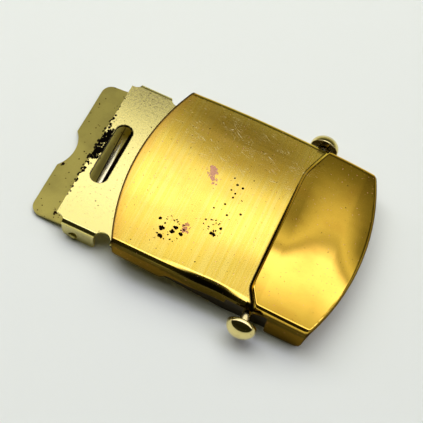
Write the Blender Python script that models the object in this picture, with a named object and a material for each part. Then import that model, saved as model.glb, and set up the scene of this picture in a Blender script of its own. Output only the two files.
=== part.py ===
"""Box buckle for a web belt: a formed sheet cover over a clamp frame, with a
hinged toothed jaw at one end and a sliding, turning locking bar at the other.

World frame: +X towards the locking-bar end, -X towards the clamp end,
+Y across the belt, +Z out of the face.  The buckle lies on its back on z = 0.
All driving sizes below are millimetres; MM turns them into metres.
"""
import math

import bmesh
import bpy

MM = 0.001

# Overall sizes
COVER_WIDTH = 38.0
COVER_STRAIGHT = 40.8
COVER_CENTRE = -0.45
END_SAGITTA = 4.0
SHEET = 0.7
GAP = 0.3

# Face plane: height above the base at mid length, and its fall towards +X
FACE_HEIGHT = 8.6
FACE_SLOPE = -0.0385
BEND_RADIUS = 1.0

# Raised field of the face
FIELD_START = 6.5
FIELD_RISE = 0.7
FIELD_CORNER_X = 1.8
FIELD_CORNER_Y = 4.6
FIELD_MARGIN = 0.8

# Side flanges of the cover
FLANGE_LEFT_DEEP_END = -11.0
FLANGE_STRIP_Z = 5.2
FLANGE_RIGHT_START = 11.9
FLANGE_CLEAR_UNDER = 0.2
NOTCH_START = 3.2

# Clamp frame
FRAME_HALF = COVER_WIDTH / 2 - SHEET - GAP
PLATE_TOP = 5.5
PLATE_LEFT = -33.8
PLATE_RIGHT = -2.0
EAR_LEFT = -32.0
EAR_RIGHT = -25.1
RELIEF_RADIUS = 1.75
SLOT_LENGTH = 14.6
SLOT_WIDTH = 3.7
SLOT_X = -30.2
ARM_INSET = 0.8

# Clamp jaw
PIVOT_X = -29.6
PIVOT_Z = 1.45
JAW_SHEET = 0.8
JAW_HALF = FRAME_HALF - SHEET - 0.4
JAW_LENGTH = 10.4
JAW_TILT = 7.0
JAW_CORNER = 2.2
TRUNNION_RADIUS = 0.65
TRUNNION_PROUD = 0.35
THUMB_WIDTH = 8.8
THUMB_DEPTH = 1.7
THUMB_Y = -0.7
TOOTH_LINE = 4.2
TOOTH_PITCH = 1.1
TOOTH_HEIGHT = 0.6
TOOTH_COUNT = 25

# Locking bar
BAR_X = 8.0
BAR_Z = 5.2
BAR_RADIUS = 1.5
NECK_RADIUS = 1.0
NECK_CLEARANCE = 0.2
BAR_FLUTES = 28
FLUTE_DEPTH = 0.12
SLIDE_ANGLE = 14.0
SLIDE_TRAVEL = 2.3
KNOB_RADIUS = 3.0
KNOB_DOME = 2.8
KNOB_RIM = 0.5
KNOB_STANDOFF = 2.3
SPIGOT_DEPTH = 1.2

HALF = COVER_WIDTH / 2
STRAIGHT_HALF = COVER_STRAIGHT / 2
ARM_END = STRAIGHT_HALF - ARM_INSET
KNOB_BACK = HALF + KNOB_STANDOFF
ARC_STEPS = 8


def face_z(x):
    """Height of the flat of the face above the base at length position x."""
    return FACE_HEIGHT + FACE_SLOPE * x


def collection(name):
    """Return a new collection linked to the scene."""
    made = bpy.data.collections.new(name)
    bpy.context.scene.collection.children.link(made)
    return made


def material(name, rgb, roughness):
    """Metallic Principled material."""
    mat = bpy.data.materials.new(name)
    mat.use_nodes = True
    shader = mat.node_tree.nodes["Principled BSDF"]
    shader.inputs["Base Color"].default_value = (*rgb, 1.0)
    shader.inputs["Metallic"].default_value = 1.0
    shader.inputs["Roughness"].default_value = roughness
    mat.diffuse_color = (*rgb, 1.0)
    return mat


def ring_loft(name, rings, home):
    """Closed solid through rings of equal point count, capped at both ends."""
    mesh = bpy.data.meshes.new(name)
    bm = bmesh.new()
    loops = []
    for ring in rings:
        loops.append([bm.verts.new((p[0] * MM, p[1] * MM, p[2] * MM)) for p in ring])
    count = len(loops[0])
    for lower, upper in zip(loops, loops[1:]):
        for i in range(count):
            j = (i + 1) % count
            bm.faces.new((lower[i], lower[j], upper[j], upper[i]))
    bm.faces.new(list(reversed(loops[0])))
    bm.faces.new(loops[-1])
    bmesh.ops.recalc_face_normals(bm, faces=bm.faces)
    bm.to_mesh(mesh)
    bm.free()
    obj = bpy.data.objects.new(name, mesh)
    home.objects.link(obj)
    return obj


def slab_y(name, outline, y_low, y_high, home):
    """Side outline (x, z) carried across from y_low to y_high."""
    rings = [[(x, y, z) for x, z in outline] for y in (y_low, y_high)]
    return ring_loft(name, rings, home)


def slab_z(name, outline, z_low, z_high, home):
    """Plan outline (x, y) carried up from z_low to z_high."""
    rings = [[(x, y, z) for x, y in outline] for z in (z_low, z_high)]
    return ring_loft(name, rings, home)


def section_x(name, section, x_low, x_high, base, slope, home):
    """Cross-section (y, z) carried along x, its height following base + slope x."""
    rings = [[(x, y, z + base + slope * x) for y, z in section] for x in (x_low, x_high)]
    return ring_loft(name, rings, home)


def arc(cx, cy, radius, start, end, steps):
    """Points on a circular arc, both ends included, angles in degrees."""
    points = []
    for i in range(steps + 1):
        angle = math.radians(start + (end - start) * i / steps)
        points.append((cx + radius * math.cos(angle), cy + radius * math.sin(angle)))
    return points


def obround(x0, z0, x1, z1, radius, steps):
    """Outline of a slot with round ends between two centres."""
    turn = math.degrees(math.atan2(z1 - z0, x1 - x0))
    ahead = arc(x1, z1, radius, turn - 90, turn + 90, steps)
    behind = arc(x0, z0, radius, turn + 90, turn + 270, steps)
    return ahead + behind


def boolean(target, cutter, operation):
    """Exact Boolean modifier with a kept, unrendered cutter."""
    cutter.hide_render = True
    cutter.display_type = "WIRE"
    mod = target.modifiers.new(cutter.name, "BOOLEAN")
    mod.operation = operation
    mod.solver = "EXACT"
    mod.object = cutter


def channel_section(half, top, radius, sheet, depth):
    """Inverted-U sheet section: two legs and a web joined by round bends."""
    outer = [(-half, -depth)]
    outer += arc(-half + radius, top - radius, radius, 180, 90, 6)
    outer += arc(half - radius, top - radius, radius, 90, 0, 6)
    outer += [(half, -depth)]
    inner = [(half - sheet, -depth)]
    inner += arc(half - radius, top - radius, radius - sheet, 0, 90, 4)
    inner += arc(-half + radius, top - radius, radius - sheet, 90, 180, 4)
    inner += [(-half + sheet, -depth)]
    return outer + inner


def end_arc(inset, half, straight, sagitta, steps):
    """Half-outline of one bowed end, from -half to +half, bowed towards +x."""
    radius = (half * half + sagitta * sagitta) / (2 * sagitta)
    centre = straight + sagitta - radius
    reach = half - inset
    points = []
    for i in range(steps + 1):
        y = -reach + 2 * reach * i / steps
        points.append((COVER_CENTRE + centre + math.sqrt((radius - inset) ** 2 - y * y), y))
    return points


def field_outline(inset):
    """Plan outline of the raised field, moved inwards by inset."""
    points = end_arc(FIELD_MARGIN + inset, HALF, STRAIGHT_HALF, END_SAGITTA, 16)
    side = HALF - FIELD_MARGIN - inset
    start = FIELD_START + inset
    knee = HALF - FIELD_MARGIN - FIELD_CORNER_Y - 1.0
    points += [(start + FIELD_CORNER_X + 1.2, side)]
    points += [(start + FIELD_CORNER_X, side - 1.0)]
    points += [(start, knee)]
    points += [(start, -knee)]
    points += [(start + FIELD_CORNER_X, -side + 1.0)]
    points += [(start + FIELD_CORNER_X + 1.2, -side)]
    return points


def field_ring(inset, height):
    """One ring of the raised field at a height above the face plane."""
    return [(x, y, face_z(x) + height) for x, y in field_outline(inset)]


def move_origin(obj, x, y, z):
    """Put the object origin at (x, y, z) without moving its surface."""
    for vert in obj.data.vertices:
        vert.co.x -= x * MM
        vert.co.y -= y * MM
        vert.co.z -= z * MM
    obj.location = (x * MM, y * MM, z * MM)


def tilt_about_pivot(obj, degrees):
    """Turn the mesh about the jaw pivot; positive lowers the tail."""
    angle = math.radians(degrees)
    for vert in obj.data.vertices:
        x = vert.co.x
        z = vert.co.z
        vert.co.x = PIVOT_X * MM + x * math.cos(angle) - z * math.sin(angle)
        vert.co.z = PIVOT_Z * MM + x * math.sin(angle) + z * math.cos(angle)


def make_cover(parts, cutters):
    """Formed face sheet: sloping web, two side flanges, raised field."""
    section = channel_section(HALF, 0.0, BEND_RADIUS, SHEET, 12.0)
    reach = STRAIGHT_HALF + END_SAGITTA + 1.0
    cover = section_x("cover_plate", section, -reach, reach, FACE_HEIGHT, FACE_SLOPE, parts)

    right = end_arc(-1.0, HALF, STRAIGHT_HALF - 1.0, END_SAGITTA, 20)
    left = [(2 * COVER_CENTRE - x, -y) for x, y in right]
    plan = slab_z("cover_plan", right + left, -6.0, 14.0, cutters)
    boolean(cover, plan, "INTERSECT")

    base_left = 4.35
    left_end = COVER_CENTRE - STRAIGHT_HALF
    right_end = COVER_CENTRE + STRAIGHT_HALF
    outline = [(left_end - 9, -9.0), (left_end - 9, face_z(-30.0) - BEND_RADIUS - 0.1)]
    outline += [(left_end - 0.05, face_z(left_end) - BEND_RADIUS - 0.1)]
    outline += [(left_end + 0.3, base_left + 0.5), (left_end + 0.7, base_left)]
    outline += [(FLANGE_LEFT_DEEP_END, 3.3), (FLANGE_LEFT_DEEP_END + 0.6, 3.5)]
    outline += [(FLANGE_LEFT_DEEP_END + 2.0, FLANGE_STRIP_Z)]
    outline += [(NOTCH_START - 0.3, FLANGE_STRIP_Z), (NOTCH_START, FLANGE_STRIP_Z + 0.3)]
    outline += [(NOTCH_START, face_z(NOTCH_START) - 1.3), (NOTCH_START + 0.3, face_z(NOTCH_START) - 1.0)]
    outline += [(FLANGE_RIGHT_START - 0.3, face_z(FLANGE_RIGHT_START) - 1.0)]
    outline += [(FLANGE_RIGHT_START, face_z(FLANGE_RIGHT_START) - 1.3)]
    outline += [(FLANGE_RIGHT_START, 0.8), (FLANGE_RIGHT_START + 0.4, FLANGE_CLEAR_UNDER + 0.2)]
    outline += [(right_end - 1.3, FLANGE_CLEAR_UNDER), (right_end - 0.6, FLANGE_CLEAR_UNDER + 0.7)]
    outline += [(right_end - 0.2, 3.9)]
    outline += [(right_end + 0.05, face_z(right_end) - BEND_RADIUS - 0.1)]
    outline += [(right_end + 9, face_z(30.0) - BEND_RADIUS - 0.1), (right_end + 9, -9.0)]
    under = slab_y("cover_under", outline, -HALF - 2, HALF + 2, cutters)
    boolean(cover, under, "DIFFERENCE")

    rings = [field_ring(0.0, -SHEET / 2), field_ring(0.0, 0.1), field_ring(0.12, 0.4)]
    rings += [field_ring(0.35, 0.62), field_ring(0.7, FIELD_RISE)]
    field = ring_loft("field_raise", rings, cutters)
    boolean(cover, field, "UNION")

    rings = [field_ring(SHEET, -SHEET - 1.0), field_ring(SHEET, FIELD_RISE - SHEET - 0.25)]
    rings += [field_ring(SHEET + 0.3, FIELD_RISE - SHEET)]
    recess = ring_loft("field_recess", rings, cutters)
    boolean(cover, recess, "DIFFERENCE")
    return cover


def make_frame(parts, cutters):
    """Clamp frame: slotted plate with two pivot ears and two slotted arms."""
    section = channel_section(FRAME_HALF, PLATE_TOP, BEND_RADIUS, SHEET, 2.0)
    frame = section_x("clamp_frame", section, PLATE_LEFT, PLATE_RIGHT, 0.0, 0.0, parts)

    arm_top = SHEET + GAP
    sides = (("far", FRAME_HALF - SHEET, FRAME_HALF), ("near", -FRAME_HALF, SHEET - FRAME_HALF))
    for label, low, high in sides:
        outline = [(PLATE_RIGHT - 6, PLATE_TOP - 1.6), (PLATE_RIGHT + 4, -1.0), (ARM_END, -1.0)]
        outline += [(ARM_END, face_z(ARM_END) - arm_top - 0.8), (ARM_END - 0.8, face_z(ARM_END) - arm_top)]
        outline += [(PLATE_RIGHT + 1.4, face_z(PLATE_RIGHT) - arm_top)]
        outline += [(PLATE_RIGHT + 0.6, face_z(PLATE_RIGHT) - arm_top - 0.5)]
        outline += [(PLATE_RIGHT - 0.6, PLATE_TOP + 0.1), (PLATE_RIGHT - 1.2, PLATE_TOP - 0.4)]
        arm = slab_y("arm_" + label, outline, low, high, cutters)
        boolean(frame, arm, "UNION")

    base = [(PLATE_LEFT - 2, -8.0), (PLATE_LEFT - 2, 4.0), (EAR_LEFT, 4.0)]
    base += [(EAR_LEFT, 2.0), (EAR_LEFT + 0.3, 1.0), (EAR_LEFT + 1.0, 0.3), (EAR_LEFT + 2.0, 0.0)]
    base += [(EAR_RIGHT - 0.4, 0.0), (EAR_RIGHT, 0.4), (EAR_RIGHT, 3.8), (-23.4, 4.2), (-21.0, 4.1)]
    base += [(0.5, 0.35), (2.5, 0.0), (ARM_END - 1.4, 0.0), (ARM_END - 0.4, 0.4), (ARM_END, 1.4)]
    base += [(ARM_END + 4, 1.6), (ARM_END + 4, -8.0)]
    under = slab_y("frame_under", base, -HALF - 2, HALF + 2, cutters)
    boolean(frame, under, "DIFFERENCE")

    slot = arc(0.0, SLOT_LENGTH / 2 - SLOT_WIDTH / 2, SLOT_WIDTH / 2, 0, 180, 12)
    slot += arc(0.0, SLOT_WIDTH / 2 - SLOT_LENGTH / 2, SLOT_WIDTH / 2, 180, 360, 12)
    slot = [(x + SLOT_X, y) for x, y in slot]
    window = slab_z("plate_slot", slot, 3.6, 8.0, cutters)
    boolean(frame, window, "DIFFERENCE")

    middle = (EAR_RIGHT - 21.6) / 2
    for label, side in (("far", 1), ("near", -1)):
        relief = arc(middle, side * FRAME_HALF, RELIEF_RADIUS, 0, 345, 23)
        hole = slab_z("relief_" + label, relief, -4.0, 9.0, cutters)
        boolean(frame, hole, "DIFFERENCE")
        corner = [(PLATE_LEFT - 1, 16.4), (-32.9, 16.55), (-32.4, 16.8), (-32.1, 17.1), (-32.0, 19.0)]
        corner += [(PLATE_LEFT - 1, 19.0)]
        corner = [(x, side * y) for x, y in corner]
        cut = slab_z("corner_" + label, corner, -4.0, 9.0, cutters)
        boolean(frame, cut, "DIFFERENCE")

    run = math.radians(SLIDE_ANGLE)
    front = (BAR_X + SLIDE_TRAVEL * math.cos(run), BAR_Z + SLIDE_TRAVEL * math.sin(run))
    track = obround(BAR_X, BAR_Z, front[0], front[1], NECK_RADIUS + NECK_CLEARANCE, 10)
    slots = slab_y("bar_slots", track, -HALF - 3, HALF + 3, cutters)
    boolean(frame, slots, "DIFFERENCE")

    pivot = arc(PIVOT_X, PIVOT_Z, TRUNNION_RADIUS + GAP, 0, 337.5, 15)
    holes = slab_y("pivot_holes", pivot, -HALF - 3, HALF + 3, cutters)
    boolean(frame, holes, "DIFFERENCE")
    return frame


def make_jaw(parts, cutters):
    """Toothed clamp jaw: flat tail, end turned down, trunnions at the sides."""
    top = JAW_SHEET - 0.05
    side = [(-JAW_LENGTH, -0.05), (-0.6, -0.05), (-0.2, -0.2), (0.05, -0.5), (0.45, -1.45)]
    side += [(1.25, -1.3), (0.9, -0.35), (0.6, 0.2), (0.15, 0.58), (-0.5, top), (-JAW_LENGTH, top)]
    jaw = slab_y("clamp_jaw", side, -JAW_HALF, JAW_HALF, parts)

    corner_x = JAW_CORNER - JAW_LENGTH
    corner_y = JAW_HALF - JAW_CORNER
    radius = (THUMB_WIDTH ** 2 / 4 + THUMB_DEPTH ** 2) / (2 * THUMB_DEPTH)
    half_angle = math.degrees(math.asin(THUMB_WIDTH / 2 / radius))
    plan = [(3.0, -JAW_HALF - 1), (3.0, JAW_HALF + 1), (corner_x, JAW_HALF + 1)]
    plan += arc(corner_x, corner_y, JAW_CORNER, 90, 180, ARC_STEPS)
    plan += arc(THUMB_DEPTH - radius - JAW_LENGTH, THUMB_Y, radius, half_angle, -half_angle, 12)
    plan += arc(corner_x, -corner_y, JAW_CORNER, 180, 270, ARC_STEPS)
    plan += [(corner_x, -JAW_HALF - 1)]
    outline = slab_z("jaw_plan", plan, -3.0, 3.0, cutters)

    reach = FRAME_HALF + TRUNNION_PROUD
    pin = arc(0.0, 0.0, TRUNNION_RADIUS, 0, 330, 11)
    far = slab_y("trunnion_far", pin, JAW_HALF - 0.9, reach, cutters)
    near = slab_y("trunnion_near", pin, -reach, 0.9 - JAW_HALF, cutters)

    solids = [jaw, outline, far, near]
    foot_corners = ((-0.5, -0.42), (0.4, -0.42), (0.4, 0.42), (-0.5, 0.42))
    tip_corners = ((0.0, -0.06), (0.12, -0.06), (0.12, 0.06), (0.0, 0.06))
    teeth = []
    for i in range(TOOTH_COUNT):
        y = (i - (TOOTH_COUNT - 1) / 2) * TOOTH_PITCH
        foot = [(dx - TOOTH_LINE, y + dy, top - 0.2) for dx, dy in foot_corners]
        tip = [(dx - TOOTH_LINE, y + dy, top + TOOTH_HEIGHT) for dx, dy in tip_corners]
        teeth.append(ring_loft("tooth_%02d" % i, [foot, tip], cutters))
    comb = teeth[0]
    joined = bmesh.new()
    for tooth in teeth:
        joined.from_mesh(tooth.data)
    joined.to_mesh(comb.data)
    joined.free()
    for tooth in teeth[1:]:
        bpy.data.objects.remove(tooth)
    comb.name = "tooth_row"
    solids.append(comb)
    for solid in solids:
        tilt_about_pivot(solid, JAW_TILT)
    boolean(jaw, outline, "INTERSECT")
    boolean(jaw, far, "UNION")
    boolean(jaw, near, "UNION")
    boolean(jaw, comb, "UNION")
    move_origin(jaw, PIVOT_X, 0.0, PIVOT_Z)
    return jaw


def make_bar(parts, cutters):
    """Fluted locking bar with plain necks that run out into the knobs."""
    body = []
    for i in range(BAR_FLUTES * 2):
        angle = math.pi * i / BAR_FLUTES
        radius = BAR_RADIUS - (i % 2) * FLUTE_DEPTH
        body.append((BAR_X + radius * math.cos(angle), BAR_Z + radius * math.sin(angle)))
    half = FRAME_HALF - SHEET - GAP
    bar = slab_y("locking_bar", body, -half, half, parts)
    neck = arc(BAR_X, BAR_Z, NECK_RADIUS, 0, 345, 23)
    tip = KNOB_BACK + SPIGOT_DEPTH
    rod = slab_y("bar_necks", neck, -tip, tip, cutters)
    boolean(bar, rod, "UNION")
    move_origin(bar, BAR_X, 0.0, BAR_Z)
    return bar


def make_knob(name, side, parts, cutters):
    """Domed knob with a flat back and a blind bore over the bar end."""
    profile = [(KNOB_RADIUS - 0.15, 0.0), (KNOB_RADIUS, 0.15), (KNOB_RADIUS, KNOB_RIM)]
    for i in range(1, 12):
        angle = math.radians(90.0 * i / 12)
        height = KNOB_RIM + (KNOB_DOME - KNOB_RIM) * math.sin(angle)
        profile.append((KNOB_RADIUS * math.cos(angle), height))
    bore = NECK_RADIUS + GAP
    floor = SPIGOT_DEPTH + GAP
    rings = []
    steps = 40
    for radius, height in [(bore, floor), (bore, 0.0)] + profile:
        y = side * (KNOB_BACK + height)
        ring = []
        for i in range(steps):
            angle = 2 * math.pi * i / steps
            ring.append((BAR_X + radius * math.cos(angle), y, BAR_Z + radius * math.sin(angle)))
        rings.append(ring)
    knob = ring_loft(name, rings, parts)
    move_origin(knob, BAR_X, 0.0, BAR_Z)
    return knob


def main():
    """Clear the scene and build the six pieces."""
    for obj in list(bpy.data.objects):
        bpy.data.objects.remove(obj, do_unlink=True)
    parts = collection("parts")
    cutters = collection("cutters")
    face = material("polished_brass", (0.79, 0.57, 0.20), 0.18)
    sheet = material("satin_pale_brass", (0.80, 0.70, 0.44), 0.30)
    dull = material("dull_olive_brass", (0.42, 0.36, 0.17), 0.42)
    turned = material("turned_brass", (0.72, 0.58, 0.27), 0.20)
    cover = make_cover(parts, cutters)
    frame = make_frame(parts, cutters)
    jaw = make_jaw(parts, cutters)
    bar = make_bar(parts, cutters)
    near = make_knob("knob_near", -1, parts, cutters)
    far = make_knob("knob_far", 1, parts, cutters)
    cover.data.materials.append(face)
    frame.data.materials.append(sheet)
    jaw.data.materials.append(dull)
    bar.data.materials.append(turned)
    near.data.materials.append(material("domed_knob_brass_near", (0.74, 0.60, 0.28), 0.16))
    far.data.materials.append(material("domed_knob_brass_far", (0.74, 0.60, 0.28), 0.16))
    cutters.hide_render = True


main()
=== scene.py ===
"""Finished look of a brass box buckle for a web belt, built round its CAD frame."""
import math

import bmesh
import bpy
import numpy as np
from mathutils import Matrix, Vector


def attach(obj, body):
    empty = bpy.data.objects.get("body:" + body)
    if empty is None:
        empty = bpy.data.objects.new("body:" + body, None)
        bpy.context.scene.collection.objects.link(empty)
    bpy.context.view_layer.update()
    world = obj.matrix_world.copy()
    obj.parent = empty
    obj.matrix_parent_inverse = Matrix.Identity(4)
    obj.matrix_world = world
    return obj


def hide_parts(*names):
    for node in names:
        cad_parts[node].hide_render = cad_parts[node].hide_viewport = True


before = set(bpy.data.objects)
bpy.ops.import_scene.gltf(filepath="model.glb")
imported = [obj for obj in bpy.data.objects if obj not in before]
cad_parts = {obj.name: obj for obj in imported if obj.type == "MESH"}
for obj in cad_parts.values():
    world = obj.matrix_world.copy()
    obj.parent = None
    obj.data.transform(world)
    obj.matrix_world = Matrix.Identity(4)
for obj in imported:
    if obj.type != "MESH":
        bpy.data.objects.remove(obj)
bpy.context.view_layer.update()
MM = 0.001
MERGE = 1e-7

# Cover sheet, in millimetres, as the CAD has it
HALF = 19.0
SHEET = 0.7
STRAIGHT = 20.4
CENTRE = -0.45
SAGITTA = 4.0
END_RADIUS = (HALF * HALF + SAGITTA * SAGITTA) / (2 * SAGITTA)
END_CENTRE = STRAIGHT + SAGITTA - END_RADIUS
FACE_HEIGHT = 8.6
FACE_SLOPE = -0.0385
BEND = 1.0
FIELD_X = 6.5
FIELD_RISE = 0.7

# Shape of the pressed face, in millimetres
CORNER_BLEND = 0.22
TWIST = 0.0024
BOW_RISE = 0.30
SAG_DEPTH = 0.15
ROLL_DEPTH = 0.30

# Jaw and bar, in millimetres
PIVOT = (-29.6, 1.45)
JAW_TILT = 7.0
JAW_HALF = 16.9
JAW_LENGTH = 10.4
JAW_SHEET = 0.8
JAW_FLAT = -0.1
JAW_CORNER = 2.2
BAR = (8.0, 5.2)
BAR_RADIUS = 1.5
KNOB_BACK = 21.3
KNOB_RADIUS = 3.0
KNOB_DOME = 2.8

# Slot in the clamp frame's plate, in millimetres: half its straight part and its end radius
SLOT_X = -30.2
SLOT_HALF = 5.45
SLOT_RADIUS = 1.85

# Room light against ceiling position y/z, out to ROOM_WIDEST each way, and its strength
ROOM_WIDEST = 3.0
ROOM_LEVELS = [
    (-3.0, 0.012), (-1.3, 0.006), (-0.3, 0.008), (0.02, 0.01),  # dark wall in front
    (0.10, 0.60), (0.16, 1.0), (0.31, 1.0), (0.365, 0.28), (0.41, 0.28),  # pale panel overhead
    (0.435, 0.46), (0.46, 0.80), (0.518, 0.95), (0.534, 0.26),  # long lamp
    (0.542, 0.14), (0.550, 0.22), (0.562, 0.44), (0.575, 0.34), (0.605, 0.10),  # its faint second edge
    (0.66, 0.02), (1.4, 0.05), (3.0, 0.22),  # dark ceiling and wall behind
]
ROOM_STRENGTH = 2.2

# Camera, in millimetres and degrees
CAMERA_AZIMUTH = 11.945
CAMERA_ELEVATION = 63.37
CAMERA_ROLL = 13.796
CAMERA_DISTANCE = 188.945
CAMERA_TARGET = (0.0, 0.0, 8.9)
SENSOR = 36.0
LENS = 82.348936
TARGET_ON_SENSOR = (3.347234, -0.305362)


# ---------------------------------------------------------------- surfaces

def grid_faces(rows, columns, wrap):
    """Quads of a rows x columns grid; wrap joins the last column to the first."""
    index = np.arange(rows * columns).reshape(rows, columns)
    if wrap:
        index = np.hstack([index, index[:, :1]])
    corners = [index[:-1, :-1], index[:-1, 1:], index[1:, 1:], index[1:, :-1]]
    return np.stack(corners, axis=-1).reshape(-1, 4)


def mesh_from_arrays(name, points, quads):
    """Mesh object from an array of millimetre points and an array of quads."""
    mesh = bpy.data.meshes.new(name)
    mesh.vertices.add(len(points))
    mesh.vertices.foreach_set("co", (np.asarray(points) * MM).astype(np.float32).ravel())
    mesh.loops.add(quads.size)
    mesh.loops.foreach_set("vertex_index", quads.astype(np.int32).ravel())
    mesh.polygons.add(len(quads))
    mesh.polygons.foreach_set("loop_start", np.arange(0, quads.size, 4, dtype=np.int32))
    mesh.update(calc_edges=True)
    mesh.validate()
    obj = bpy.data.objects.new(name, mesh)
    bpy.context.scene.collection.objects.link(obj)
    return obj


def tidy_mesh(obj, merge, dissolve):
    """Merge points closer than merge metres, optionally flatten, turn normals out."""
    bm = bmesh.new()
    bm.from_mesh(obj.data)
    bmesh.ops.remove_doubles(bm, verts=bm.verts, dist=merge)
    if dissolve:
        bmesh.ops.dissolve_limit(bm, angle_limit=math.radians(dissolve), verts=bm.verts, edges=bm.edges)
    bmesh.ops.recalc_face_normals(bm, faces=bm.faces)
    bm.to_mesh(obj.data)
    bm.free()


def smooth(obj, angle):
    """Smooth shading that keeps edges sharper than the angle."""
    obj.data.polygons.foreach_set("use_smooth", np.ones(len(obj.data.polygons), dtype=bool))
    obj.data.set_sharp_from_angle(angle=math.radians(angle))


def soften(obj, width, segments, angle):
    """Rounds cut edges sharper than the angle, so that they catch light."""
    bevel = obj.modifiers.new("softened_edge", "BEVEL")
    bevel.width = width * MM
    bevel.segments = segments
    bevel.limit_method = "ANGLE"
    bevel.angle_limit = math.radians(angle)
    bevel.use_clamp_overlap = True


def thicken(obj, thickness):
    """Gives a surface sheet thickness on its inner side."""
    solid = obj.modifiers.new("sheet", "SOLIDIFY")
    solid.thickness = thickness * MM
    solid.offset = -1.0
    solid.use_even_offset = True


def bake_modifiers(obj):
    """Replace the mesh by its evaluated one and drop the modifiers."""
    graph = bpy.context.evaluated_depsgraph_get()
    made = bpy.data.meshes.new_from_object(obj.evaluated_get(graph))
    old = obj.data
    obj.modifiers.clear()
    obj.data = made
    bpy.data.meshes.remove(old)


def smoothstep(edge0, edge1, value):
    """Cubic ramp from 0 at edge0 to 1 at edge1."""
    t = np.clip((value - edge0) / (edge1 - edge0), 0.0, 1.0)
    return t * t * (3.0 - 2.0 * t)


def face_height(x):
    """Face plane: FACE_HEIGHT at x = 0, changing by FACE_SLOPE for each millimetre."""
    return FACE_HEIGHT + FACE_SLOPE * x


def smooth_least(parts):
    """Least of several distances, rounded where two of them are nearly equal."""
    stack = np.stack(parts)
    low = stack.min(axis=0)
    return low - CORNER_BLEND * np.log(np.exp(-(stack - low) / CORNER_BLEND).sum(axis=0))


def foot_depth(x, y):
    """Distance past the raised field's foot: a straight line across the belt with a cut
    corner at each end."""
    far_corner = 0.922 * (x - FIELD_X) - 0.386 * (y - 12.3)
    near_corner = 0.860 * (x - FIELD_X) + 0.511 * (y + 15.2)
    return smooth_least([x - FIELD_X, far_corner, near_corner])


def edge_depth(x, y):
    """Distance inside the raised field's near side and bowed end, which lie just inside
    the cover's own."""
    side_inset, end_inset = 0.05, 0.15
    end = END_RADIUS - end_inset - np.hypot(x - END_CENTRE - CENTRE, y)
    return smooth_least([HALF - side_inset + y, end])


def field_twist(x, y):
    """Slow twist of the raised field from the pressing: its near side stands higher and its
    far side lower towards the foot and again towards the bowed end.  Height is
    TWIST times crest(x) less its middle, times run tanh(y / run).  The crest line is a
    parabola up to peak_x, level to end_x, then a straight fall, and stays above lowest."""
    peak_x, end_x, peak, lowest, middle, run = 17.3, 18.2, 2.5, -7.0, 5.5, 9.0
    towards_foot = peak - 0.14 * (peak_x - x) ** 2
    towards_end = peak - 2.1 * np.maximum(x - end_x, 0.0)
    crest = np.clip(np.where(x < peak_x, towards_foot, towards_end), lowest, peak)
    return TWIST * (crest - middle) * run * np.tanh(y / run)


def face_relief(x, y):
    """Height added to the face plane: the raised field, ramped up steeply from its foot,
    near side and bowed end, its twist, a faint bow along the whole face, and outside the
    field a sag towards its near corner and a rolled near edge at mid length."""
    ramp = smoothstep(-0.16, 0.50, foot_depth(x, y)) * smoothstep(-0.25, 0.35, edge_depth(x, y))
    bow = BOW_RISE * (1.0 - (x / (STRAIGHT + SAGITTA + 0.2)) ** 2)
    sag = SAG_DEPTH * smoothstep(-9.0, 5.0, x) * smoothstep(-4.0, -18.0, y) ** 2
    roll = ROLL_DEPTH * np.exp(-(((x + 1.0) / 6.0) ** 2)) * smoothstep(-17.1, -18.6, y)
    return (FIELD_RISE + field_twist(x, y)) * ramp + bow - (sag + roll) * (1.0 - ramp)


def flange_bottom(x):
    """Lower edge of the side flanges: deep, a shallow strip, a notch, deep again."""
    xs = [-20.85, -20.5, -20.1, -11.0, -10.4, -8.9, 2.9, 3.12, 3.2, 3.45]
    zs = [5.6, 4.75, 4.38, 3.3, 3.5, 5.2, 5.2, 5.4, 7.0, 7.24]
    xs += [11.6, 11.88, 11.96, 12.3, 18.7, 19.4, 19.9, 20.6]
    zs += [6.93, 6.7, 0.8, 0.3, 0.2, 0.9, 3.9, 6.4]
    return np.interp(x, xs, zs)


def spaced(*stretches):
    """Joined runs of (start, end, step) without repeated ends."""
    runs = []
    for start, end, step in stretches:
        count = max(1, int(round((end - start) / step)))
        runs.append(np.linspace(start, end, count, endpoint=False))
    runs.append(np.array([stretches[-1][1]]))
    return np.concatenate(runs)


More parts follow.
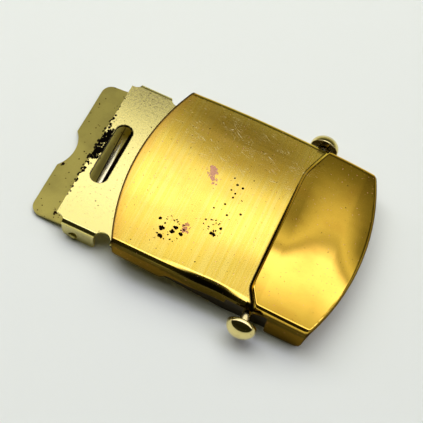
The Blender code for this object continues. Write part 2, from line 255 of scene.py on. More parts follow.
def cover_grid():
    """Outer skin of the cover.  One parameter runs along the length, out to the bowed ends,
    END_CENTRE + sqrt(END_RADIUS^2 - y^2); the other round the inverted-U section: near
    flange, quarter-round bend, flat web, bend, far flange, down to flange_bottom."""
    web = spaced(
        (-18, -15.6, 0.16), (-15.6, -11, 0.33), (-11, 11, 0.5), (11, 15.6, 0.33), (15.6, 18, 0.16),
    )
    along = spaced(
        (-19, -11.4, 0.9), (-11.4, -8.6, 0.28), (-8.6, 2.6, 0.8), (2.6, 3.7, 0.09), (3.7, 5.8, 0.3),
        (5.8, 7.6, 0.07), (7.6, 10.0, 0.12), (10.0, 11.6, 0.3), (11.6, 12.5, 0.08), (12.5, 18.4, 0.6),
        (18.4, 19, 0.12),
    )
    last = along[-1]
    ending = 1.0 - (1.0 - np.linspace(0, 1, 17)[1:]) ** 1.5

    # section from the near flange's foot over the web to the far flange's foot
    turn = np.radians(np.linspace(0, 90, 10)[1:])
    down = np.linspace(0, 1, 9)[1:]
    bend_y = HALF - BEND + BEND * np.sin(turn)
    bend_z = -BEND * (1 - np.cos(turn))
    side = np.full(len(down), HALF)
    y = np.concatenate([-side, -bend_y[::-1], web, bend_y, side])[:, None]
    level = np.concatenate([side * 0 - BEND, bend_z[::-1], web * 0, bend_z, side * 0 - BEND])[:, None]
    fraction = np.concatenate([down[::-1], turn * 0, web * 0, turn * 0, down])[:, None]

    # each section line reaches the bowed end, or just short of it on the flanges
    bowed = END_CENTRE + np.sqrt(END_RADIUS**2 - y**2)
    reach = np.where(fraction == 0, bowed, STRAIGHT - 0.25 * fraction)
    left = last + (reach - CENTRE - last) * ending
    right = last + (reach + CENTRE - last) * ending
    x = np.hstack([-left[:, ::-1], np.broadcast_to(along, (len(y), len(along))), right])

    # pinched inwards at the near side and bulged outwards at the far side, at mid length
    pinch = 0.22 * np.exp(-(((x - 0.9) / 3.4) ** 2)) * smoothstep(-13.0, -18.6, y)
    bulge = 0.63 * smoothstep(11.0, 18.6, y) * np.clip(1.0 - (x / STRAIGHT) ** 2, 0, 1)
    relief = face_relief(x, np.clip(y, 0.1 - HALF, HALF - 0.1) + 0 * x)
    fall = fraction * (face_height(x) - BEND - flange_bottom(x))
    z = face_height(x) + level + relief * (1 - 0.5 * fraction) - fall
    return np.stack([x, y + pinch + bulge, z], axis=-1)


def add_point_mask(obj, name, values):
    """Store one number for each point of a mesh."""
    layer = obj.data.attributes.new(name, "FLOAT", "POINT")
    layer.data.foreach_set("value", values.astype(np.float32))


def mark_cover(obj):
    """Point masks for the cover's finish: field, 1 on the raised field; groove, painted shade at
    its foot, widest at the near side; rim, near the bowed left end; brink, both cut ends;
    fold, painted dark reflection along each side bend and over the rolled near edge, widest
    at mid length; flange, the sides."""
    co = np.empty(len(obj.data.vertices) * 3, dtype=np.float32)
    obj.data.vertices.foreach_get("co", co)
    x, y, z = (co.reshape(-1, 3) / MM).T
    depth = foot_depth(x, y)
    width = 0.12 + 0.16 * smoothstep(10.0, -10.0, y)
    foot = np.exp(-(((depth + 0.10) / width) ** 2)) * smoothstep(11.0, 8.0, y)
    from_left = np.hypot(x + END_CENTRE - CENTRE, y) - END_RADIUS
    from_right = np.hypot(x - END_CENTRE - CENTRE, y) - END_RADIUS
    from_end = np.where(x > 0, from_right, from_left)
    drop = face_height(x) - z
    side = np.abs(y) > HALF - SHEET - 0.4
    past_foot = x > FIELD_X + 0.5
    reach = 1.35 + 1.9 * np.exp(-(((x + 1.0) / 8.0) ** 2)) + 0.35 * past_foot
    top = 0.10 - 0.50 * past_foot
    # painted dark reflection along each side bend and over the rolled near edge
    fold_reflection = smoothstep(0.0, 0.25, drop - top) * smoothstep(reach + 0.25, reach, drop)
    rolled = np.exp(-(((x + 1.0) / 6.5) ** 4)) * smoothstep(-17.45, -17.85, y) * (drop < reach)
    add_point_mask(obj, "field", smoothstep(0.0, 0.5, depth))
    # painted shade at the raised field's foot
    add_point_mask(obj, "groove_shade", np.clip(1.5 * foot, 0, 1))
    add_point_mask(obj, "rim", smoothstep(-2.6, -0.3, from_left) * (x < 0))
    add_point_mask(obj, "brink", smoothstep(-0.48, -0.25, from_end))
    add_point_mask(obj, "flange", smoothstep(0.7, 1.2, drop) * side)
    add_point_mask(obj, "fold_reflection", np.maximum(fold_reflection * side, rolled))


def make_cover():
    """The cover sheet from its skin."""
    points = cover_grid()
    rows, columns = points.shape[:2]
    cover = mesh_from_arrays("cover_sheet", points.reshape(-1, 3), grid_faces(rows, columns, False))
    turn_up(cover)
    thicken(cover, SHEET)
    soften(cover, 0.07, 2, 55)
    bake_modifiers(cover)
    mark_cover(cover)
    smooth(cover, 40)
    return cover


def turn_up(obj):
    """Flip an open skin whose face normals point down at its middle."""
    normals = np.empty(len(obj.data.polygons) * 3, dtype=np.float32)
    obj.data.polygons.foreach_get("normal", normals)
    if normals.reshape(-1, 3)[:, 2].sum() < 0:
        obj.data.flip_normals()


def place_jaw(points):
    """Turn jaw-local points by the resting tilt and set them on the pivot."""
    angle = math.radians(JAW_TILT)
    x, y, z = points[..., 0], points[..., 1], points[..., 2]
    turned = [x * math.cos(angle) - z * math.sin(angle) + PIVOT[0], y]
    turned.append(x * math.sin(angle) + z * math.cos(angle) + PIVOT[1])
    return np.stack(turned, axis=-1)


def jaw_tail(y):
    """Tail edge of the jaw: straight, with round corners and an arc bitten out."""
    over = np.clip(np.abs(y) - (JAW_HALF - JAW_CORNER), 0, JAW_CORNER)
    edge = -JAW_LENGTH + JAW_CORNER - np.sqrt(np.maximum(JAW_CORNER**2 - over**2, 0))
    bite_y, bite_half, bite_deep = -0.7, 4.4, 1.7
    radius = (bite_half**2 + bite_deep**2) / (2 * bite_deep)
    inside = np.maximum(radius**2 - (y - bite_y) ** 2, 0)
    bite = -JAW_LENGTH - (radius - bite_deep) + np.sqrt(inside)
    return np.maximum(edge, np.where(np.abs(y - bite_y) < bite_half + 0.2, bite, -99.0))


def jaw_grid():
    """Upper skin of the jaw: from the tail edge along a flat run, round a bend and
    down a short lip; the other parameter runs across the width, closer at the corners and
    the bite.  The flat run waves a little towards its tail, sin(0.42 y + 0.6)."""
    bend, lean, wave = 1.0, 15, 0.035
    corner = JAW_HALF - JAW_CORNER * (1 - np.cos(np.radians(np.linspace(90, 0, 10))))
    side = np.concatenate([corner[1:], [JAW_HALF]])
    plain = JAW_HALF - JAW_CORNER
    right = np.unique(np.round(np.concatenate([np.linspace(3.9, plain, 24), side]), 5))
    left = -np.unique(np.round(np.concatenate([np.linspace(5.4, plain, 22), side]), 5))[::-1]
    y = np.concatenate([left, np.linspace(-5.4, 3.9, 48)[1:-1], right])[None, :]
    tail = jaw_tail(y)
    run = np.linspace(0, 1, 26)[:, None]
    top = JAW_SHEET - 0.05
    flat_x = tail + (JAW_FLAT - tail) * run
    flat_z = top + wave * np.sin(y * 0.42 + 0.6) * (1 - run) ** 2
    turn = np.radians(np.linspace(90, lean, 11)[1:])[:, None]
    bend_x = JAW_FLAT + bend * np.cos(turn) + 0 * y
    bend_z = top - bend + bend * np.sin(turn) + 0 * y
    lip = np.array([0.4, 0.8, 1.15])[:, None]
    lip_x = bend_x[-1] + math.sin(math.radians(lean)) * lip
    lip_z = bend_z[-1] - math.cos(math.radians(lean)) * lip
    x = np.vstack([flat_x, bend_x, lip_x])
    z = np.vstack([flat_z, bend_z, lip_z])
    return place_jaw(np.stack([x, np.broadcast_to(y, x.shape), z], axis=-1))


def make_jaw():
    """The jaw plate from its skin."""
    points = jaw_grid()
    rows, columns = points.shape[:2]
    jaw = mesh_from_arrays("jaw_plate", points.reshape(-1, 3), grid_faces(rows, columns, False))
    turn_up(jaw)
    thicken(jaw, JAW_SHEET)
    soften(jaw, 0.12, 3, 55)
    bake_modifiers(jaw)
    smooth(jaw, 40)
    return jaw


def make_teeth():
    """Row of raised points across the jaw: each a six-sided cone with a hollow flank, whose
    radius falls fast at its foot and slowly towards a small flat tip."""
    count, pitch, sides, row_x, foot, tall = 25, 1.1, 6, -4.2, 0.68, 0.66
    rise = np.array([0.0, 0.35, 0.7, 1.0])
    radius = np.array([0.46, 0.25, 0.11, 0.02])
    angle = np.linspace(0, 2 * math.pi, sides, endpoint=False)
    centre = (np.arange(count) - (count - 1) / 2) * pitch
    x = row_x + radius[None, :, None] * np.cos(angle)[None, None, :] + np.zeros((count, 1, 1))
    y = centre[:, None, None] + radius[None, :, None] * np.sin(angle)[None, None, :]
    z = foot + rise[None, :, None] * tall + np.zeros_like(y)
    points = place_jaw(np.stack([x, y, z], axis=-1))
    cap = np.array([[0, 1, 2, 3], [3, 4, 5, 0]])
    one = np.vstack([grid_faces(len(rise), sides, True), cap, cap + (len(rise) - 1) * sides])
    first = np.arange(count) * len(rise) * sides
    quads = (one[None] + first[:, None, None]).reshape(-1, 4)
    teeth = mesh_from_arrays("jaw_teeth", points.reshape(-1, 3), quads)
    tidy_mesh(teeth, MERGE, 0)
    smooth(teeth, 35)
    return teeth


def turned_points(profile, steps, centre, side):
    """Profile of (radius, distance outwards along y) turned about a line through
    centre along y; side is +1 or -1."""
    angle = np.linspace(0, 2 * math.pi, steps, endpoint=False)
    profile = np.asarray(profile)
    x = centre[0] + profile[:, :1] * np.cos(angle)[None, :]
    z = centre[1] + profile[:, :1] * np.sin(angle)[None, :]
    y = np.broadcast_to(side * profile[:, 1:], x.shape)
    return np.stack([x, y, z], axis=-1)


def turned_piece(name, profile, steps, centre, side):
    """Closed turned piece whose profile starts and ends on its axis."""
    points = turned_points(profile, steps, centre, side)
    obj = mesh_from_arrays(name, points.reshape(-1, 3), grid_faces(len(profile), steps, True))
    tidy_mesh(obj, MERGE, 0)
    smooth(obj, 35)
    return obj


def rounded(x0, y0, radius, start, end, steps):
    """Arc of profile points about (x0, y0), angles in degrees."""
    turn = np.radians(np.linspace(start, end, steps))
    return np.column_stack([x0 + radius * np.cos(turn), y0 + radius * np.sin(turn)])


def make_knob(name, side):
    """Domed knob: blind bore, flat back, small round rim, then a dome whose height
    follows a half ellipse over the radius."""
    bore, bore_depth, chamfer, rim, shoulder = 1.3, 1.5, 0.15, 0.22, 0.45
    back = [(0.0, bore_depth), (bore, bore_depth), (bore, chamfer), (bore + chamfer, 0.0)]
    edge = rounded(KNOB_RADIUS - rim, rim, rim, -90, 0, 6)
    rise = np.radians(np.linspace(0, 90, 26))
    dome = np.column_stack([KNOB_RADIUS * np.cos(rise), shoulder + (KNOB_DOME - shoulder) * np.sin(rise)])
    dome[-1, 0] = 0.0
    profile = np.vstack([back, edge, dome]) + (0.0, KNOB_BACK)
    return turned_piece(name, profile, 96, BAR, side)


def make_bar():
    """Locking bar: a knurled body whose radius ripples with two crossing spirals,
    stepped down to plain necks that run into the knobs."""
    steps, ridges, twist, knurl_depth = 112, 28, 0.42, 0.10
    ys = np.linspace(-16.6, 16.6, 190)[:, None]
    angle = np.linspace(0, 2 * math.pi, steps, endpoint=False)
    first = np.abs(np.sin(0.5 * ridges * (angle + ys * twist)))
    second = np.abs(np.sin(0.5 * ridges * (angle - ys * twist)))
    body = BAR_RADIUS - knurl_depth * (1 - np.minimum(first, second))
    neck = np.array([(0.0, 22.5), (0.85, 22.5), (1.0, 22.35), (1.0, 17.0), (1.28, 17.0), (1.42, 16.85)])
    low = np.repeat(neck[:, :1], steps, axis=1)
    radius = np.vstack([low, body, low[::-1]])
    y = np.vstack([-neck[:, 1:], ys, neck[::-1, 1:]])
    x = BAR[0] + radius * np.cos(angle)
    z = BAR[1] + radius * np.sin(angle)
    points = np.stack([x, np.broadcast_to(y, x.shape), z], axis=-1)
    bar = mesh_from_arrays("knurled_bar", points.reshape(-1, 3), grid_faces(len(y), steps, True))
    tidy_mesh(bar, MERGE, 0)
    smooth(bar, 35)
    return bar


def make_trunnions():
    """Two short studs at the jaw's sides with rounded outer ends."""
    radius, root, shoulder, rounding, steps = 0.65, 16.2, 18.2, 0.2, 32
    stud = [(0.0, root), (radius, root), (radius, shoulder)]
    end = rounded(radius - rounding, shoulder, rounding, 0, 90, 5)[1:]
    profile = np.vstack([stud, end, [(0.0, shoulder + 0.22)]])
    pieces = [turned_points(profile, steps, PIVOT, side).reshape(-1, 3) for side in (-1, 1)]
    quads = grid_faces(len(profile), steps, True)
    both = np.vstack([quads, quads + len(pieces[0])])
    studs = mesh_from_arrays("jaw_trunnions", np.vstack(pieces), both)
    tidy_mesh(studs, MERGE, 0)
    smooth(studs, 35)
    return studs


def make_frame():
    """The stamped clamp frame: the CAD solid with its flats joined up and every cut
    edge rounded, because its slots and reliefs are cut through a bent sheet."""
    source = bpy.data.objects["clamp_frame"]
    obj = bpy.data.objects.new("stamped_frame", source.data.copy())
    obj.data.materials.clear()
    bpy.context.scene.collection.objects.link(obj)
    tidy_mesh(obj, 2e-6, 0.6)
    smooth(obj, 32)
    soften(obj, 0.11, 3, 42)
    level = obj.modifiers.new("flat_faces_stay_flat", "WEIGHTED_NORMAL")
    level.weight = 80
    bake_modifiers(obj)
    return obj


# ---------------------------------------------------------------- materials

def linear(code):
    """sRGB hex string to linear RGBA."""
    values = np.array([int(code[i:i + 2], 16) / 255 for i in (1, 3, 5)])
    light = np.where(values <= 0.04045, values / 12.92, ((values + 0.055) / 1.055) ** 2.4)
    return (*light.tolist(), 1.0)


def add_node(tree, kind, links=None, values=None, **settings):
    """Add one node with its properties, its fixed socket values and its links."""
    node = tree.nodes.new(kind)
    for name, setting in settings.items():
        setattr(node, name, setting)
    for socket, value in (values or {}).items():
        node.inputs[socket].default_value = value
    for socket, source in (links or {}).items():
        tree.links.new(source, node.inputs[socket])
    return node


def pattern_space(tree, size, centre=(0.0, 0.0, 0.0), turn=0.0):
    """Object coordinates about a centre, turned about Z, in units of size; all in
    millimetres and degrees."""
    where = add_node(tree, "ShaderNodeTexCoord")
    space = add_node(
        tree, "ShaderNodeMapping", {"Vector": where.outputs["Object"]},
        {
            "Location": tuple(c * MM for c in centre),
            "Rotation": (0.0, 0.0, math.radians(turn)),
            "Scale": tuple(s * MM for s in size),
        },
        vector_type="TEXTURE",
    )
    return space.outputs["Vector"]


def cloud(tree, size, detail=3.0, seed=0.0):
    """Soft uneven field from 0 to 1 with lumps of the given size in millimetres."""
    space = pattern_space(tree, size, (seed, seed, 0.0))
    noise = add_node(tree, "ShaderNodeTexNoise", {"Vector": space}, {"Scale": 1.0, "Detail": detail})
    return noise.outputs["Fac"]


def patches(tree, size, detail, seed, low, high):
    """A cloud sharpened into patches, 0 where it is under low and 1 where it is over high."""
    soft = cloud(tree, size, detail, seed)
    sharp = add_node(tree, "ShaderNodeMapRange", {"Value": soft}, {"From Min": low, "From Max": high})
    return sharp.outputs["Result"]


def oval(tree, centre, spread, turn=0.0, core=0.35):
    """1 inside an upright oval column, fading to 0 at its spread."""
    space = pattern_space(tree, (spread[0], spread[1], 1000.0), centre, turn)
    away = add_node(tree, "ShaderNodeVectorMath", {0: space}, operation="LENGTH")
    fade = add_node(
        tree, "ShaderNodeMapRange", {"Value": away.outputs["Value"]},
        {"From Min": 1.0, "From Max": core, "To Min": 0.0, "To Max": 1.0}, interpolation_type="SMOOTHSTEP",
    )
    return fade.outputs["Result"]


def flecks(tree, spacing, size, where, ragged=0.35, seed=0.0):
    """Ragged dots: inside where, the distance to scattered points plus some noise is
    under size, both in units of the spacing in millimetres."""
    space = pattern_space(tree, (spacing, spacing, spacing), (seed, seed, 0.0))
    cells = add_node(tree, "ShaderNodeTexVoronoi", {"Vector": space}, {"Scale": 1.0})
    rough = add_node(tree, "ShaderNodeTexNoise", {"Vector": space}, {"Scale": 2.6, "Detail": 4.0})
    links = {0: rough.outputs["Fac"], 2: cells.outputs["Distance"]}
    uneven = add_node(tree, "ShaderNodeMath", links, {1: ragged}, operation="MULTIPLY_ADD")
    limit = add_node(tree, "ShaderNodeMath", {0: where}, {1: size}, operation="MULTIPLY")
    links = {0: limit.outputs[0], 1: uneven.outputs[0]}
    under = add_node(tree, "ShaderNodeMath", links, operation="SUBTRACT")
    ends = {"From Min": ragged * -0.5, "From Max": 0.03 - ragged * 0.5}
    mask = add_node(tree, "ShaderNodeMapRange", {"Value": under.outputs[0]}, ends)
    return mask.outputs["Result"]


def scratches(tree, width, length, turn, where):
    """Fine wandering lines where stretched noise crosses its middle value, broken up by
    patches and kept inside where."""
    space = pattern_space(tree, (width, length, 1000.0), (0.0, 0.0, 0.0), turn)
    noise = add_node(tree, "ShaderNodeTexNoise", {"Vector": space}, {"Scale": 1.0, "Detail": 1.0})
    off = add_node(tree, "ShaderNodeMath", {0: noise.outputs["Fac"]}, {1: 0.5}, operation="SUBTRACT")
    near = add_node(tree, "ShaderNodeMath", {0: off.outputs[0]}, operation="ABSOLUTE")
    ends = {"From Min": 0.012, "From Max": 0.0, "To Min": 0.0, "To Max": 1.0}
    line = add_node(tree, "ShaderNodeMapRange", {"Value": near.outputs[0]}, ends)
    broken = patches(tree, (3.0, 3.0, 3.0), 2.0, turn, 0.50, 0.62)
    links = {0: line.outputs["Result"], 1: broken}
    kept = add_node(tree, "ShaderNodeMath", links, operation="MULTIPLY")
    return add_node(tree, "ShaderNodeMath", {0: kept.outputs[0], 1: where}, operation="MULTIPLY").outputs[0]


def lay_finishes(tree, shader, colour, roughness, layers):
    """Start from one colour and roughness, then lay each (masks, strength, colour,
    roughness) over the last, by its strength times the product of its masks, and link the
    result to the shader."""
    tint = add_node(tree, "ShaderNodeRGB")
    tint.outputs[0].default_value = linear(colour)
    gloss = add_node(tree, "ShaderNodeValue")
    gloss.outputs[0].default_value = roughness
    tint_out, gloss_out = tint.outputs[0], gloss.outputs[0]
    for masks, strength, next_colour, next_roughness in layers:
        share = add_node(tree, "ShaderNodeMath", {0: masks[0]}, {1: strength}, operation="MULTIPLY")
        for mask in masks[1:]:
            links = {0: share.outputs[0], 1: mask}
            share = add_node(tree, "ShaderNodeMath", links, operation="MULTIPLY")
        links = {0: share.outputs[0], 6: tint_out}
        mixed = add_node(tree, "ShaderNodeMix", links, {7: linear(next_colour)}, data_type="RGBA")
        links = {0: share.outputs[0], 2: gloss_out}
        rough = add_node(tree, "ShaderNodeMix", links, {3: next_roughness}, data_type="FLOAT")
        tint_out, gloss_out = mixed.outputs[2], rough.outputs[0]
    tree.links.new(tint_out, shader.inputs["Base Color"])
    tree.links.new(gloss_out, shader.inputs["Roughness"])


def raise_bumps(tree, shader, heights):
    """Chain of bumps from (height, mask, depth in millimetres), each kept inside its mask;
    a bump with no mask covers the whole piece."""
    normal = None
    for height, mask, depth in heights:
        if mask:
            inside = add_node(tree, "ShaderNodeMath", {0: height, 1: mask}, operation="MULTIPLY")
            height = inside.outputs[0]
        links = {"Height": height}
        if normal:
            links["Normal"] = normal
        bump = add_node(tree, "ShaderNodeBump", links, {"Strength": 1.0, "Distance": depth * MM})
        normal = bump.outputs["Normal"]
    tree.links.new(normal, shader.inputs["Normal"])


def metal(name):
    """Metallic Principled material; returns material, tree and shader."""
    mat = bpy.data.materials.new(name)
    mat.use_nodes = True
    tree = mat.node_tree
    shader = tree.nodes["Principled BSDF"]
    shader.inputs["Metallic"].default_value = 1.0
    return mat, tree, shader


def make_face_brass():
    """Yellow cartridge brass.  The plain part is linished across the belt, which gives the
    eye fine parallel lines that spread each highlight; the raised field is buffed to a
    near mirror.  Age has left dark pits and bare coppery spots; painted shade darkens the field's foot."""
    mat, tree, shader = metal("linished_and_buffed_brass")
    field, groove_shade, rim, brink, fold_reflection, flange = [
        add_node(tree, "ShaderNodeAttribute", attribute_name=name).outputs["Fac"]
        for name in ("field", "groove_shade", "rim", "brink", "fold_reflection", "flange")
    ]
    plain = add_node(tree, "ShaderNodeMath", {1: field}, {0: 1.0}, operation="SUBTRACT").outputs[0]

    # linishing lines, about 0.2 mm apart in life, drawn 0.6 mm apart so that they show
    line_size = (0.30, 26.0, 26.0)
    lines = cloud(tree, line_size, 1.0)
    line_tone = patches(tree, line_size, 1.0, 0.0, 0.42, 0.62)
    fine = cloud(tree, (0.16, 9.0, 9.0), 2.0, 4.0)
    bloom = patches(tree, (7.0, 5.0, 7.0), 4.0, 2.0, 0.44, 0.66)

    # worn by handling and darkened by painted shade on the far half: a duller film, smears a few
    # millimetres wide, hair scratches
    wear_and_shade = oval(tree, (-6.5, 12.0, 0.0), (25.0, 9.5), -4.0, 0.3)
    streak = [oval(tree, (-13.5, 11.6, 0.0), (13.0, 1.7), -3.0, 0.1), cloud(tree, (6.0, 0.7, 6.0), 3.0)]
    smear = [oval(tree, (-7.0, 14.5, 0.0), (21.0, 5.0), -4.0, 0.1), cloud(tree, (9.0, 0.9, 9.0), 3.0, 5.0)]
    hairs = [scratches(tree, 0.55, 7.0, 62.0, wear_and_shade), scratches(tree, 0.5, 6.0, 100.0, wear_and_shade)]

    # pits 0.3 to 0.8 mm across in two groups and a loose scatter, and two coppery spots
    lower = oval(tree, (-12.3, -12.0, 0.0), (4.2, 4.8), -20.0, 0.5)
    middle = oval(tree, (-5.2, -7.3, 0.0), (3.0, 2.6), 0.0, 0.5)
    loose = oval(tree, (-3.5, 0.5, 0.0), (7.0, 6.0), 0.0, 0.7)
    copper_high = oval(tree, (-9.6, 3.2, 0.0), (1.7, 3.4), 25.0)
    copper_low = oval(tree, (-9.5, -9.9, 0.0), (1.3, 2.0), 10.0)
    pits = [
        flecks(tree, 1.5, 0.36, lower, 0.6, 5.0),
        flecks(tree, 1.4, 0.30, middle, 0.6, 7.0),
        flecks(tree, 0.8, 0.26, lower, 0.9, 1.0),
        flecks(tree, 0.7, 0.26, middle, 0.9, 2.0),
        flecks(tree, 1.7, 0.16, loose, 0.2, 11.0),
    ]
    layers = [
        ([line_tone, plain], 0.25, "#fff08e", 0.16),
        ([bloom], 0.30, "#e6b84c", 0.15),
        ([rim], 0.45, "#e09a3c", 0.16),
        # darker far half: partly tarnish film, partly painted shade
        ([wear_and_shade], 0.62, "#a17c1e", 0.15),
        ([field], 1.0, "#efc34a", 0.055),
        ([bloom, field], 0.4, "#dda53a", 0.08),
        (smear, 0.65, "#6d500c", 0.17),
        (streak, 0.45, "#dcb450", 0.17),
        ([hairs[0]], 0.8, "#fff0b0", 0.35),
        ([hairs[1]], 0.8, "#fff0b0", 0.35),
        ([flange], 1.0, "#6b4d12", 0.22),
        # painted dark reflection along the side bends and the rolled near edge
        ([fold_reflection], 0.92, "#170e06", 0.16),
        ([brink], 0.92, "#33220c", 0.35),
        ([flecks(tree, 0.75, 0.72, copper_high, 1.2, 3.0)], 0.8, "#e8a488", 0.42),
        ([flecks(tree, 0.8, 0.74, copper_low, 1.15, 9.0)], 0.8, "#c98262", 0.42),
        # painted shade at the raised field's foot
        ([groove_shade], 1.0, "#150b04", 0.45),
    ]
    layers += [([mask], 1.0, "#160c05", 0.6) for mask in pits]
    # brass stays warm where it is seen at a glancing angle
    shader.inputs["Specular Tint"].default_value = linear("#f8e6bc")
    lay_finishes(tree, shader, "#f8d654", 0.13, layers)
    swell = cloud(tree, (4.0, 4.0, 4.0), 1.0, 6.0)
    raise_bumps(tree, shader, [(lines, plain, 0.006), (fine, plain, 0.003), (swell, field, 0.003)])
    return mat


def make_frame_brass():
    """Pale brass sheet with worn nickel flash: satin and creamy, with fine mottling, brown
    specks, grime and painted shade along the slot, a black tarnish patch beside it, and
    painted shade on the sides, darkest under the cover."""
    mat, tree, shader = metal("satin_flashed_brass")
    mottle_size = (0.5, 0.5, 0.5)
    mottled = patches(tree, mottle_size, 5.0, 0.0, 0.45, 0.70)
    far_end = oval(tree, (-29.5, 19.0, 0.0), (12.0, 11.0), 0.0, 0.2)
    everywhere = oval(tree, (-28.0, 0.0, 0.0), (60.0, 60.0), 0.0, 0.9)
    patch = oval(tree, (-32.9, 0.8, 0.0), (1.7, 6.5), -4.0, 0.35)
    edge_dots = oval(tree, (-33.8, 0.0, 0.0), (1.0, 17.0), 0.0, 0.5)
    # painted shade on the frame's sides, darker still under the cover
    wall_shade = beyond(tree, "Y", 17.85, 17.98)
    shade_under_cover = beyond(tree, "X", 24.6, 23.0)
    layers = [
        ([mottled], 0.30, "#e2d68e", 0.24),
        ([far_end, mottled], 0.6, "#8f8550", 0.35),
        ([far_end], 0.30, "#b5ab70", 0.26),
        ([flecks(tree, 0.7, 0.10, everywhere, 0.25, 2.0)], 1.0, "#857441", 0.45),
        ([flecks(tree, 0.45, 0.25, far_end, 0.3, 6.0)], 1.0, "#7c7144", 0.45),
        ([flecks(tree, 0.75, 0.50, edge_dots, 0.4, 4.0)], 1.0, "#1c1408", 0.5),
        # grime and painted shade round the slot's edge
        ([slot_grime_and_shade(tree)], 1.0, "#1d1509", 0.5),
        ([flecks(tree, 0.7, 0.95, patch, 1.6, 8.0)], 1.0, "#0e0a05", 0.5),
        # painted shade on the frame's sides, darker still under the cover
        ([wall_shade], 0.45, "#8c8048", 0.3),
        ([wall_shade, shade_under_cover], 1.0, "#3f3217", 0.35),
    ]
    lay_finishes(tree, shader, "#fbec8c", 0.17, layers)
    raise_bumps(tree, shader, [(cloud(tree, mottle_size, 5.0), None, 0.002)])
    return mat


def beyond(tree, axis, start, full):
    """Mask from the distance to the middle plane along an axis: 0 at start, 1 at full."""
    space = pattern_space(tree, (1.0, 1.0, 1.0))
    parts = add_node(tree, "ShaderNodeSeparateXYZ", {"Vector": space})
    away = add_node(tree, "ShaderNodeMath", {0: parts.outputs[axis]}, operation="ABSOLUTE")
    ends = {"From Min": start, "From Max": full}
    return add_node(tree, "ShaderNodeMapRange", {"Value": away.outputs[0]}, ends).outputs["Result"]


def slot_grime_and_shade(tree):
    """Dark line round the belt slot, partly grime and partly painted shade: distance outside its rounded
    outline, made ragged.
    """
    space = pattern_space(tree, (1.0, 1.0, 1.0), (SLOT_X, 0.0, 0.0))
    parts = add_node(tree, "ShaderNodeSeparateXYZ", {"Vector": space})
    along = add_node(tree, "ShaderNodeMath", {0: parts.outputs["Y"]}, operation="ABSOLUTE")
    past = add_node(tree, "ShaderNodeMath", {0: along.outputs[0]}, {1: SLOT_HALF}, operation="SUBTRACT")
    over = add_node(tree, "ShaderNodeMath", {0: past.outputs[0]}, {1: 0.0}, operation="MAXIMUM")
    flat = add_node(tree, "ShaderNodeCombineXYZ", {"X": parts.outputs["X"], "Y": over.outputs[0]})
    reach = add_node(tree, "ShaderNodeVectorMath", {0: flat.outputs[0]}, operation="LENGTH")
    links = {0: cloud(tree, (0.3, 0.3, 0.3), 3.0, 3.0), 2: reach.outputs["Value"]}
    ragged = add_node(tree, "ShaderNodeMath", links, {1: 0.35}, operation="MULTIPLY_ADD")
    ends = {"From Min": SLOT_RADIUS + 0.34, "From Max": SLOT_RADIUS + 0.16}
    return add_node(tree, "ShaderNodeMapRange", {"Value": ragged.outputs[0]}, ends).outputs["Result"]


def make_jaw_brass():
    """Bare aged brass: dull olive, slightly rough, with brown specks and soft stains; where the
    bend shows through the belt slot, a painted highlight strip between lines of painted shade."""
    mat, tree, shader = metal("aged_bare_brass")
    everywhere = oval(tree, (-35.0, 0.0, 0.0), (60.0, 60.0), 0.0, 0.9)
    at_bite = oval(tree, (-38.7, -4.6, 0.0), (0.9, 0.9))
    at_ear = oval(tree, (-34.9, -15.0, 0.0), (1.0, 1.4))
    along_plate = oval(tree, (-34.7, 1.0, 0.0), (0.9, 13.0), 0.0, 0.6)
    # painted highlight on the jaw's bend where it shows through the slot
    bend_highlight = oval(tree, (-30.35, -1.8, 0.0), (0.62, 8.5), 3.0, 0.75)
    # painted shade where the jaw's bend starts
    crease_shade = oval(tree, (-31.0, 0.0, 0.0), (0.17, 12.0), 2.0, 0.6)
    shade = oval(tree, (-28.9, 0.0, 0.0), (1.05, 16.0), 0.0, 0.85)
    grain = cloud(tree, (0.35, 0.35, 0.35), 4.0)
    layers = [
        ([patches(tree, (5.0, 5.0, 5.0), 4.0, 1.0, 0.45, 0.70)], 0.6, "#9a8f45", 0.42),
        ([grain], 0.25, "#8d8140", 0.45),
        ([flecks(tree, 1.1, 0.13, everywhere, 0.25, 3.0)], 1.0, "#3a2f14", 0.5),
        ([flecks(tree, 0.8, 0.55, at_bite, 0.3)], 1.0, "#2a1c0c", 0.5),
        ([flecks(tree, 0.7, 0.55, at_ear, 0.3)], 1.0, "#2f1d0d", 0.5),
        ([flecks(tree, 0.8, 0.50, along_plate, 0.35, 5.0)], 1.0, "#2b2411", 0.5),
        # painted highlight on the jaw's bend where it shows through the slot
        ([bend_highlight], 1.0, "#fff6c0", 0.16),
        # painted shade where the jaw's bend starts
        ([crease_shade], 1.0, "#2a210e", 0.5),
        ([shade], 1.0, "#171006", 0.6),
    ]
    lay_finishes(tree, shader, "#b9ac52", 0.36, layers)
    raise_bumps(tree, shader, [(grain, None, 0.004)])
    return mat


def make_knob_brass():
    """Buffed brass heads, pale from lacquer, with faint handling marks."""
    mat, tree, shader = metal("buffed_brass_head")
    everywhere = oval(tree, (8.0, 0.0, 0.0), (60.0, 60.0), 0.0, 0.9)
    layers = [
        ([patches(tree, (1.6, 1.6, 1.6), 4.0, 0.0, 0.45, 0.70)], 0.5, "#b9a45c", 0.16),
        ([flecks(tree, 0.8, 0.10, everywhere, 0.25, 3.0)], 1.0, "#4a3b1c", 0.4),
    ]
    lay_finishes(tree, shader, "#e6d58d", 0.09, layers)
    return mat


def make_bar_brass():
    """Knurled rod: bright brass with brown grime caught in patches of the knurl."""
    mat, tree, shader = metal("knurled_rod_brass")
    layers = [([patches(tree, (0.8, 0.8, 0.8), 3.0, 0.0, 0.45, 0.65)], 0.6, "#8b7640", 0.4)]
    lay_finishes(tree, shader, "#ecdc98", 0.2, layers)
    return mat


def fit_out(piece, body, slot, mat, *nodes):
    """Give a piece its material, body and the CAD nodes it stands for; slot is not used."""
    piece.data.materials.clear()
    piece.data.materials.append(mat)
    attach(piece, body)
    if nodes:
        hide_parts(*nodes)


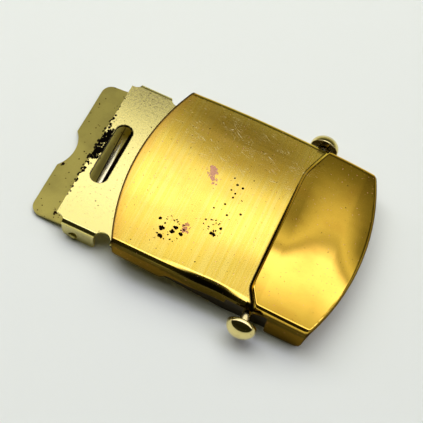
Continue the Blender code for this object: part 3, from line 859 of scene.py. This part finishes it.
jaw_brass = make_jaw_brass()
bar_brass = make_bar_brass()
knob_brass = make_knob_brass()
fit_out(make_cover(), "buckle_body", "face_brass", make_face_brass(), "cover_plate")
fit_out(make_frame(), "buckle_body", "frame_brass", make_frame_brass(), "clamp_frame")
fit_out(make_jaw(), "jaw", "jaw_brass", jaw_brass, "clamp_jaw")
fit_out(make_teeth(), "jaw", "jaw_brass", jaw_brass)
fit_out(make_trunnions(), "jaw", "jaw_brass", jaw_brass)
fit_out(make_bar(), "bar", "bar_brass", bar_brass, "locking_bar")
fit_out(make_knob("domed_knob_near", -1), "bar", "knob_brass", knob_brass, "knob_near")
fit_out(make_knob("domed_knob_far", 1), "bar", "knob_brass", knob_brass, "knob_far")


# ---------------------------------------------------------------- stage

def make_floor():
    """Plain pale table top."""
    bm = bmesh.new()
    bmesh.ops.create_grid(bm, x_segments=1, y_segments=1, size=1.5)
    mesh = bpy.data.meshes.new("table_top")
    bm.to_mesh(mesh)
    bm.free()
    floor = bpy.data.objects.new("table_top", mesh)
    bpy.context.scene.collection.objects.link(floor)
    mat = bpy.data.materials.new("matt_white_table")
    mat.use_nodes = True
    shader = mat.node_tree.nodes["Principled BSDF"]
    shader.inputs["Base Color"].default_value = linear("#e7eae1")
    shader.inputs["Roughness"].default_value = 0.6
    mesh.materials.append(mat)


def area_light(name, place, target, width, height, power, colour):
    """Soft rectangular light aimed at a point, metres and watts; metal doesn't mirror it."""
    data = bpy.data.lights.new(name, "AREA")
    data.shape = "RECTANGLE"
    data.size = width
    data.size_y = height
    data.energy = power
    data.color = colour
    lamp = bpy.data.objects.new(name, data)
    lamp.visible_glossy = False
    lamp.location = place
    lamp.rotation_euler = (Vector(target) - Vector(place)).to_track_quat("-Z", "Y").to_euler()
    bpy.context.scene.collection.objects.link(lamp)


def make_world():
    """Room that the metal mirrors, by direction.  A ramp runs over ceiling position y/z,
    from ROOM_LEVELS; bright parts are cooler and dark parts warmer."""
    world = bpy.data.worlds.new("soft_room")
    bpy.context.scene.world = world
    world.use_nodes = True
    tree = world.node_tree
    back = tree.nodes["Background"]
    aim = add_node(tree, "ShaderNodeTexCoord")
    parts = add_node(tree, "ShaderNodeSeparateXYZ", {"Vector": aim.outputs["Generated"]})
    lift = add_node(tree, "ShaderNodeMath", {0: parts.outputs["Z"]}, {1: 0.05}, operation="MAXIMUM")
    links = {0: parts.outputs["Y"], 1: lift.outputs[0]}
    slope = add_node(tree, "ShaderNodeMath", links, operation="DIVIDE")
    ends = {"From Min": -ROOM_WIDEST, "From Max": ROOM_WIDEST}
    place = add_node(tree, "ShaderNodeMapRange", {"Value": slope.outputs[0]}, ends)
    ramp = add_node(tree, "ShaderNodeValToRGB", {"Fac": place.outputs["Result"]})
    ramp.color_ramp.interpolation = "EASE"
    stops = ramp.color_ramp.elements
    while len(stops) < len(ROOM_LEVELS):
        stops.new(0.5)
    for stop, (at, level) in zip(stops, ROOM_LEVELS):
        stop.position = (at + ROOM_WIDEST) / (2 * ROOM_WIDEST)
        stop.color = (level, level * 0.99, level * (0.50 + 0.90 * level), 1.0)
    tree.links.new(ramp.outputs["Color"], back.inputs["Color"])
    back.inputs["Strength"].default_value = ROOM_STRENGTH


def make_camera():
    """Close camera above the near side, turned a little about its own axis, and moved
    sideways so that its target falls at TARGET_ON_SENSOR from the sensor's middle."""
    azimuth, elevation, roll = np.radians([CAMERA_AZIMUTH, CAMERA_ELEVATION, CAMERA_ROLL]).tolist()
    flat = math.cos(elevation)
    back = Vector((math.sin(azimuth) * flat, -math.cos(azimuth) * flat, math.sin(elevation)))
    level = Vector((math.cos(azimuth), math.sin(azimuth), 0.0))
    rise = back.cross(level)
    right = level * math.cos(roll) + rise * math.sin(roll)
    up = rise * math.cos(roll) - level * math.sin(roll)
    aside, above = [offset * CAMERA_DISTANCE / LENS for offset in TARGET_ON_SENSOR]
    place = Vector(CAMERA_TARGET) + back * CAMERA_DISTANCE - right * aside + up * above
    data = bpy.data.cameras.new("camera")
    data.sensor_width = SENSOR
    data.lens = LENS
    data.clip_start = 0.005
    data.clip_end = 20.0
    camera = bpy.data.objects.new("camera", data)
    turn = Matrix((right, up, back)).transposed().to_4x4()
    camera.matrix_world = Matrix.Translation(place * MM) @ turn
    bpy.context.scene.collection.objects.link(camera)
    bpy.context.scene.camera = camera


make_floor()
make_world()
area_light("table_softbox", (-0.12, 0.16, 0.48), (0.0, 0.0, 0.0), 0.60, 0.50, 2.35, (0.99, 1.0, 0.905))
make_camera()
bpy.context.scene.view_settings.view_transform = "Standard"
